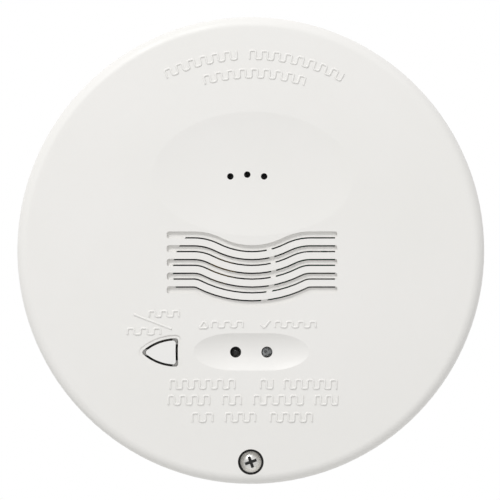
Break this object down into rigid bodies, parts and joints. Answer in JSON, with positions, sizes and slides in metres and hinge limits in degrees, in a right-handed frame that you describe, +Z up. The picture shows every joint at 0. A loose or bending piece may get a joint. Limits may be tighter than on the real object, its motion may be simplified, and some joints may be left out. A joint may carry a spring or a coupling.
{
  "type": "carbon monoxide detector",
  "caption": "Round wall detector for carbon monoxide: domed white cover with gas holes, wavy horn grille, lamp dish, test button and cover screw over a base with its circuit board.",
  "frame": {"origin": "centre of the flat back face, on the wall", "axes": "+Z up the wall, -Y out of the wall (the face looks towards -Y), +X to the right as seen from the front"},
  "size_m": [0.1524, 0.033, 0.1523],
  "materials": {
    "cover_plastic": "fine satin texture",
    "button_plastic": "smooth satin",
    "base_plastic": "fine matt texture",
    "inner_plastic": "plain moulded",
    "spring_wire": "drawn spring steel",
    "zinc_screw": "zinc plated",
    "cover_screw_steel": "bright nickel plate",
    "retainer_ring": "black nylon ring",
    "brass": "turned brass",
    "board_green": "solder mask over copper tracks",
    "horn_plastic": "black moulded",
    "ceramic": "silvered ceramic",
    "tinned_metal": "tin plated",
    "sensor_steel": "pressed steel",
    "filter_charcoal": "pressed charcoal granules",
    "gasket_rubber": "moulded silicone rubber",
    "screen_nylon": "black woven nylon mesh, bonded stiff",
    "smoked_lens": "smoked clear epoxy",
    "clear_lens": "clear epoxy",
    "component_black": "moulded epoxy",
    "terminal_green": "moulded nylon",
    "relay_black": "moulded case",
    "relay_blue": "moulded case",
    "capacitor_sleeve": "shrink sleeve",
    "copper_winding": "enamelled copper",
    "solder": "bright solder"
  },
  "bodies": {
    "base": {"base_plate": "base_plastic", "screw_insert": "brass", "circuit_board": "board_green", "board_screws": "zinc_screw", "horn_housing": "horn_plastic", "piezo_plate": "brass", "piezo_ceramic": "ceramic", "horn_contacts": "tinned_metal", "sensor_can": "sensor_steel", "sensor_cap": "inner_plastic", "sensor_filter": "filter_charcoal", "sensor_gasket": "gasket_rubber", "sensor_pins": "brass", "alarm_lamp": "smoked_lens", "normal_lamp": "clear_lens", "lamp_spacers": "inner_plastic", "lamp_leads": "tinned_metal", "tact_switch": "component_black", "tact_plate": "tinned_metal", "terminal_block": "terminal_green", "terminal_cages": "brass", "terminal_screws": "zinc_screw", "alarm_relay": "relay_black", "trouble_relay": "relay_blue", "microcontroller": "component_black", "amplifier_chip": "component_black", "regulator": "component_black", "electrolytics": "capacitor_sleeve", "horn_coil": "copper_winding", "crystal": "tinned_metal", "power_diodes": "component_black", "chip_resistors": "component_black", "solder_joints": "solder"},
    "cover": {"front_cover": "cover_plastic", "dust_screen": "screen_nylon", "button_bracket": "inner_plastic", "bracket_screws": "zinc_screw", "button_spring": "spring_wire"},
    "button": {"test_button": "button_plastic"},
    "retainer": {"screw_retainer": "retainer_ring"},
    "screw": {"cover_screw": "cover_screw_steel"},
    "plunger": {"tact_plunger": "component_black"}
  },
  "joints": [
    {"name": "cover_swing", "type": "hinge", "parent": "base", "child": "cover", "pos_m": [0, -0.0042, 0.0695], "axis": [-1, 0, 0], "range_deg": [0, 30]},
    {"name": "button_press", "type": "slide", "parent": "cover", "child": "button", "axis": [0, 1, 0], "range_m": [0, 0.0008], "stiffness_N_per_m": 300, "springref_m": -0.001, "deforming": ["button_spring"]},
    {"name": "plunger_press", "type": "slide", "parent": "base", "child": "plunger", "axis": [0, 1, 0], "range_m": [0, 0.0008]},
    {"name": "screw_back_out", "type": "slide", "parent": "cover", "child": "retainer", "axis": [0, -1, 0], "range_m": [0, 0.00635]},
    {"name": "screw_turn", "type": "hinge", "parent": "retainer", "child": "screw", "pos_m": [0, -0.02, -0.0683], "axis": [0, -1, 0], "range_deg": [0, 2880]}
  ],
  "couplings": [
    {"joint": "plunger_press", "follows": "button_press", "ratio": 1},
    {"joint": "screw_turn", "follows": "screw_back_out", "rad_per_m": 7915.8}
  ]
}
